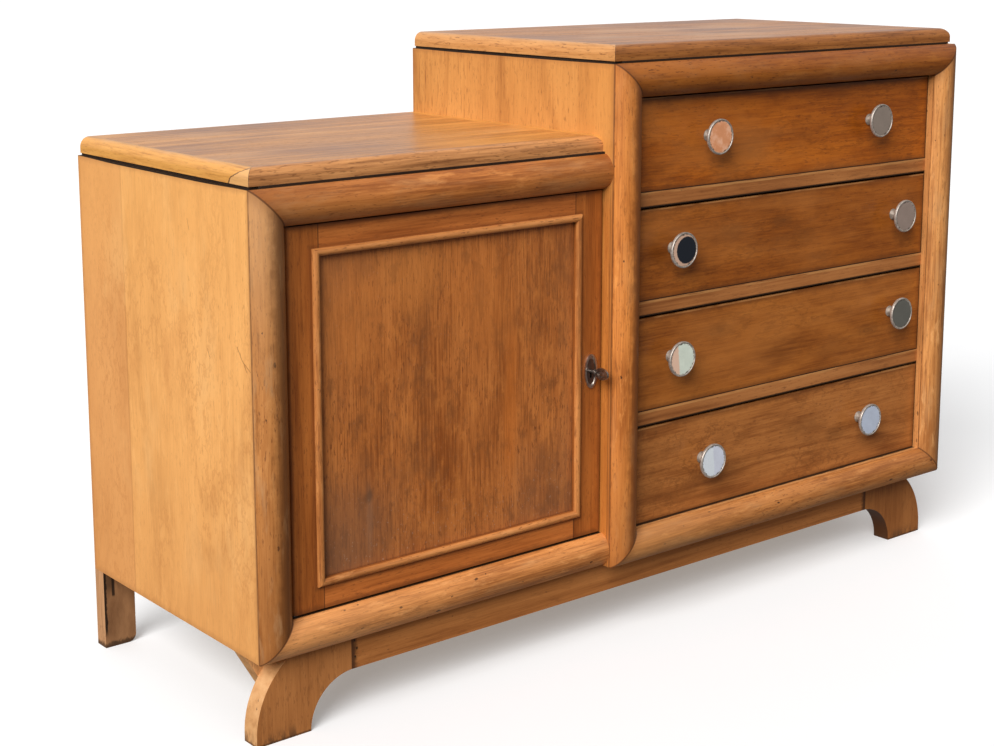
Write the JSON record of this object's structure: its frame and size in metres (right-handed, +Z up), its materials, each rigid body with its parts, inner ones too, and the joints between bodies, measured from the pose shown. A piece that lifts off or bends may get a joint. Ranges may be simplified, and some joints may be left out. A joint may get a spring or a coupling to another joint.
{
  "type": "commode",
  "caption": "Stepped wooden commode: a low cabinet with a panelled, locking door beside a taller chest of drawers with disc knobs, half-round framed fronts and bracket feet.",
  "frame": {"origin": "on the floor, in the middle of the overall width and depth, knobs included", "axes": "+Z up, +X to the right along the front, -Y towards the person in front of it"},
  "size_m": [1.325, 0.483, 0.861],
  "materials": {
    "honey_veneer": "satin lacquered veneer, upright grain",
    "top_veneer": "semi-gloss lacquered veneer, grain along the length",
    "moulding_wood": "satin lacquered solid wood, small knocks",
    "foot_wood": "satin lacquered solid wood",
    "door_frame_wood": "satin lacquered solid wood",
    "door_panel_veneer": "satin lacquered veneer, upright grain, worn",
    "drawer_veneer": "satin lacquered veneer, grain along the length",
    "rail_wood": "satin lacquered solid wood",
    "inner_wood": "plain unfinished wood",
    "back_board": "plain thin board",
    "knob_metal": "polished, worn rims",
    "lock_steel": "dark aged steel",
    "escutcheon_metal": "aged"
  },
  "bodies": {
    "carcass": {"low_side_panel": "honey_veneer", "tall_left_panel": "honey_veneer", "tall_right_panel": "honey_veneer", "low_floor": "inner_wood", "tall_floor": "inner_wood", "low_back": "back_board", "tall_back": "back_board", "front_posts": "inner_wood", "low_top_rails": "inner_wood", "tall_top_rails": "inner_wood", "low_sill": "inner_wood", "tall_sill": "inner_wood", "low_top": "top_veneer", "tall_top": "top_veneer", "low_post_moulding": "moulding_wood", "low_top_moulding": "moulding_wood", "low_bottom_moulding": "moulding_wood", "middle_post_moulding": "moulding_wood", "right_post_moulding": "moulding_wood", "tall_top_moulding": "moulding_wood", "tall_bottom_moulding": "moulding_wood", "front_left_foot": "foot_wood", "front_right_foot": "foot_wood", "foot_braces": "foot_wood", "front_apron": "foot_wood", "rear_left_leg": "honey_veneer", "rear_right_leg": "honey_veneer", "cabinet_shelf": "inner_wood", "shelf_pegs": "inner_wood", "case_pivot_plates": "lock_steel", "strike_plate": "lock_steel", "drawer_rails": "rail_wood", "drawer_runners": "inner_wood"},
    "door": {"door_left_stile": "door_frame_wood", "door_right_stile": "door_frame_wood", "door_top_rail": "door_frame_wood", "door_bottom_rail": "door_frame_wood", "door_panel": "door_panel_veneer", "door_bead": "moulding_wood", "door_pivot_pins": "lock_steel", "lock_case": "lock_steel", "escutcheon": "escutcheon_metal"},
    "key": {"key": "lock_steel"},
    "lock_bolt": {"lock_bolt": "lock_steel"},
    "drawer_1": {"drawer_1_front": "drawer_veneer", "drawer_1_sides": "inner_wood", "drawer_1_bottom": "back_board", "drawer_1_knobs": "knob_metal"},
    "drawer_2": {"drawer_2_front": "drawer_veneer", "drawer_2_sides": "inner_wood", "drawer_2_bottom": "back_board", "drawer_2_knobs": "knob_metal"},
    "drawer_3": {"drawer_3_front": "drawer_veneer", "drawer_3_sides": "inner_wood", "drawer_3_bottom": "back_board", "drawer_3_knobs": "knob_metal"},
    "drawer_4": {"drawer_4_front": "drawer_veneer", "drawer_4_sides": "inner_wood", "drawer_4_bottom": "back_board", "drawer_4_knobs": "knob_metal"}
  },
  "joints": [
    {"name": "door_hinge", "type": "hinge", "parent": "carcass", "child": "door", "pos_m": [-0.602, -0.1935, 0.4125], "axis": [0, 0, -1], "range_deg": [0, 90]},
    {"name": "key_turn", "type": "hinge", "parent": "door", "child": "key", "pos_m": [-0.1105, -0.2035, 0.4045], "axis": [0, 1, 0], "range_deg": [0, 180]},
    {"name": "lock_bolt_slide", "type": "slide", "parent": "door", "child": "lock_bolt", "axis": [1, 0, 0], "range_m": [0, 0.01]},
    {"name": "drawer_1_slide", "type": "slide", "parent": "carcass", "child": "drawer_1", "axis": [0, -1, 0], "range_m": [0, 0.3]},
    {"name": "drawer_2_slide", "type": "slide", "parent": "carcass", "child": "drawer_2", "axis": [0, -1, 0], "range_m": [0, 0.3]},
    {"name": "drawer_3_slide", "type": "slide", "parent": "carcass", "child": "drawer_3", "axis": [0, -1, 0], "range_m": [0, 0.3]},
    {"name": "drawer_4_slide", "type": "slide", "parent": "carcass", "child": "drawer_4", "axis": [0, -1, 0], "range_m": [0, 0.3]}
  ],
  "couplings": [
    {"joint": "key_turn", "follows": "lock_bolt_slide", "rad_per_m": 314.16}
  ]
}
